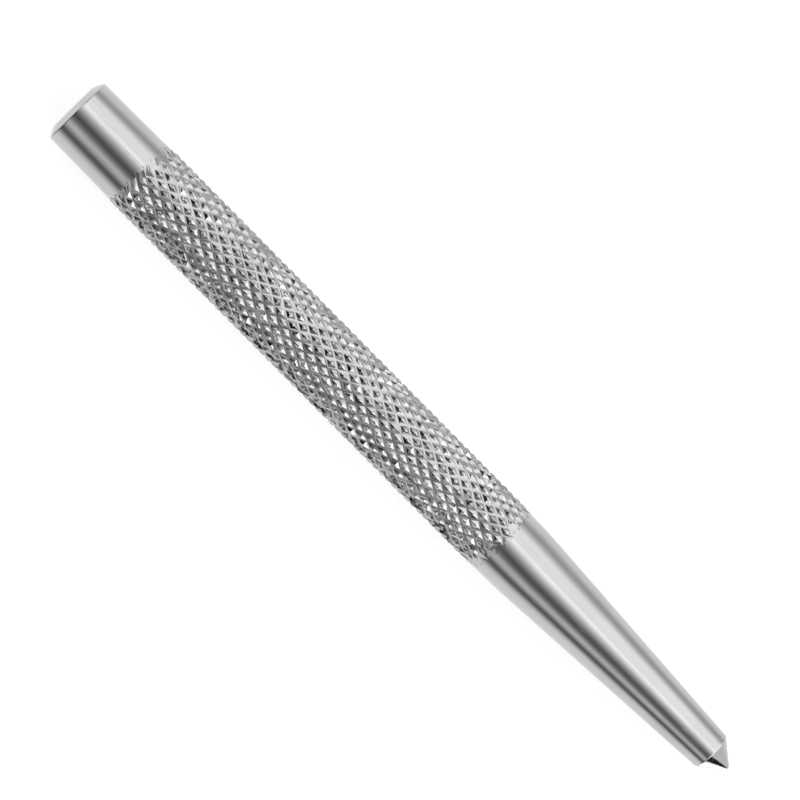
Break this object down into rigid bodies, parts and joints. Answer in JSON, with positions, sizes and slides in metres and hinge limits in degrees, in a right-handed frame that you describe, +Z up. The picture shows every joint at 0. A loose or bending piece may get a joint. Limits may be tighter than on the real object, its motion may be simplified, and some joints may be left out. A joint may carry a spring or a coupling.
{
  "type": "center punch",
  "caption": "Solid steel center punch with a diamond-knurled grip, a chamfered striking end and a tapered shank that ends in a blunt conical point.",
  "frame": {"origin": "on the surface the punch lies on, under the middle of its length and under its axis", "axes": "+X along the bar from the striking face to the point, +Z up from the surface it lies on"},
  "size_m": [0.12, 0.0104, 0.0104],
  "materials": {
    "polished_steel": "polished"
  },
  "bodies": {
    "root": {"punch_body": "polished_steel"}
  },
  "joints": []
}
